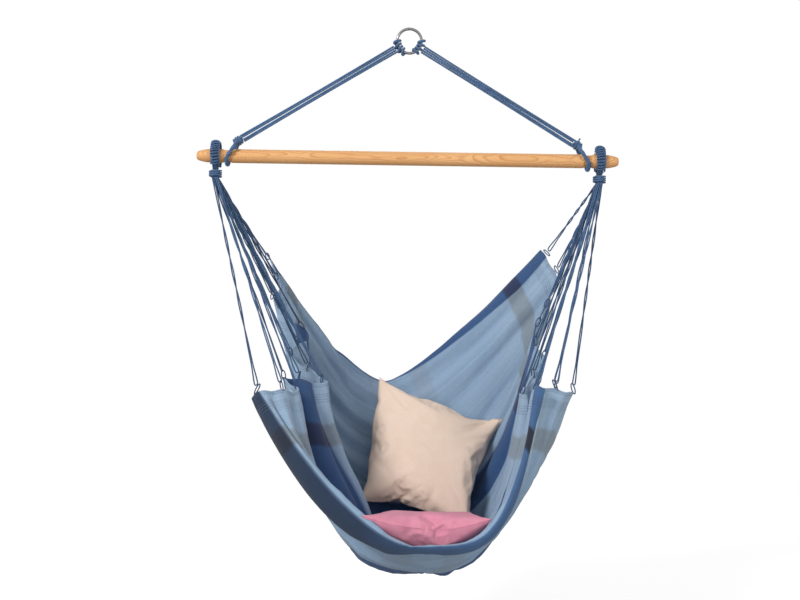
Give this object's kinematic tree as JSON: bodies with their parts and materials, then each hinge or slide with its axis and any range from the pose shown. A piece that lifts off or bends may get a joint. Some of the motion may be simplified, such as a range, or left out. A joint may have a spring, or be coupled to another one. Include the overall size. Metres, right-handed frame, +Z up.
{
  "type": "hammock chair",
  "caption": "Hanging hammock chair with a steel ring, cord bridle, turned wooden spreader bar, fans of seat strings, a draped woven seat and loose cushions.",
  "frame": {"origin": "where the hook bears on the inside of the top of the hanging ring", "axes": "+Z up, +X along the spreader bar to the right of someone facing the seat, -Y the way the sitter looks"},
  "size_m": [1.1, 0.6201, 1.3963],
  "materials": {
    "steel": "polished",
    "pine": "clear satin varnish",
    "cord": "braided cotton cord",
    "cloth": "woven cotton, checked in blues and greys",
    "pink_cover": "plain woven cotton",
    "beige_cover": "plain woven cotton"
  },
  "bodies": {
    "root": {"hanging_ring": "steel", "left_ring_hitch": "cord", "right_ring_hitch": "cord"},
    "hanging_cords": {"left_hanging_strand_1": "cord", "left_hanging_strand_2": "cord", "left_hanging_strand_3": "cord", "left_hanging_strand_4": "cord", "right_hanging_strand_1": "cord", "right_hanging_strand_2": "cord", "right_hanging_strand_3": "cord", "right_hanging_strand_4": "cord", "left_bar_knot": "cord", "left_bar_loop": "cord", "right_bar_knot": "cord", "right_bar_loop": "cord"},
    "bar": {"spreader_bar": "pine"},
    "seat": {"left_end_loop": "cord", "left_loop_whipping": "cord", "left_string_collar": "cord", "left_collar_wrap": "cord", "right_end_loop": "cord", "right_loop_whipping": "cord", "right_string_collar": "cord", "right_collar_wrap": "cord", "left_seat_string_01": "cord", "left_seat_string_02": "cord", "left_seat_string_03": "cord", "left_seat_string_04": "cord", "left_seat_string_05": "cord", "left_seat_string_06": "cord", "left_seat_string_07": "cord", "left_seat_string_08": "cord", "left_seat_string_09": "cord", "left_seat_string_10": "cord", "left_seat_string_11": "cord", "left_seat_string_12": "cord", "left_seat_string_13": "cord", "left_seat_string_14": "cord", "right_seat_string_01": "cord", "right_seat_string_02": "cord", "right_seat_string_03": "cord", "right_seat_string_04": "cord", "right_seat_string_05": "cord", "right_seat_string_06": "cord", "right_seat_string_07": "cord", "right_seat_string_08": "cord", "right_seat_string_09": "cord", "right_seat_string_10": "cord", "right_seat_string_11": "cord", "right_seat_string_12": "cord", "right_seat_string_13": "cord", "right_seat_string_14": "cord", "seat_cloth": "cloth", "seat_cushion": "pink_cover", "back_cushion": "beige_cover"}
  },
  "joints": [
    {"name": "cord_swing", "type": "hinge", "parent": "root", "child": "hanging_cords", "pos_m": [0, 0, -0.0444], "axis": [1, 0, 0], "range_deg": [-20, 20]},
    {"name": "bar_roll", "type": "hinge", "parent": "hanging_cords", "child": "bar", "pos_m": [0, 0, -0.335], "axis": [1, 0, 0], "range_deg": [-180, 180]},
    {"name": "seat_tilt", "type": "hinge", "parent": "hanging_cords", "child": "seat", "pos_m": [0, 0, -0.335], "axis": [1, 0, 0], "range_deg": [-30, 30]}
  ]
}
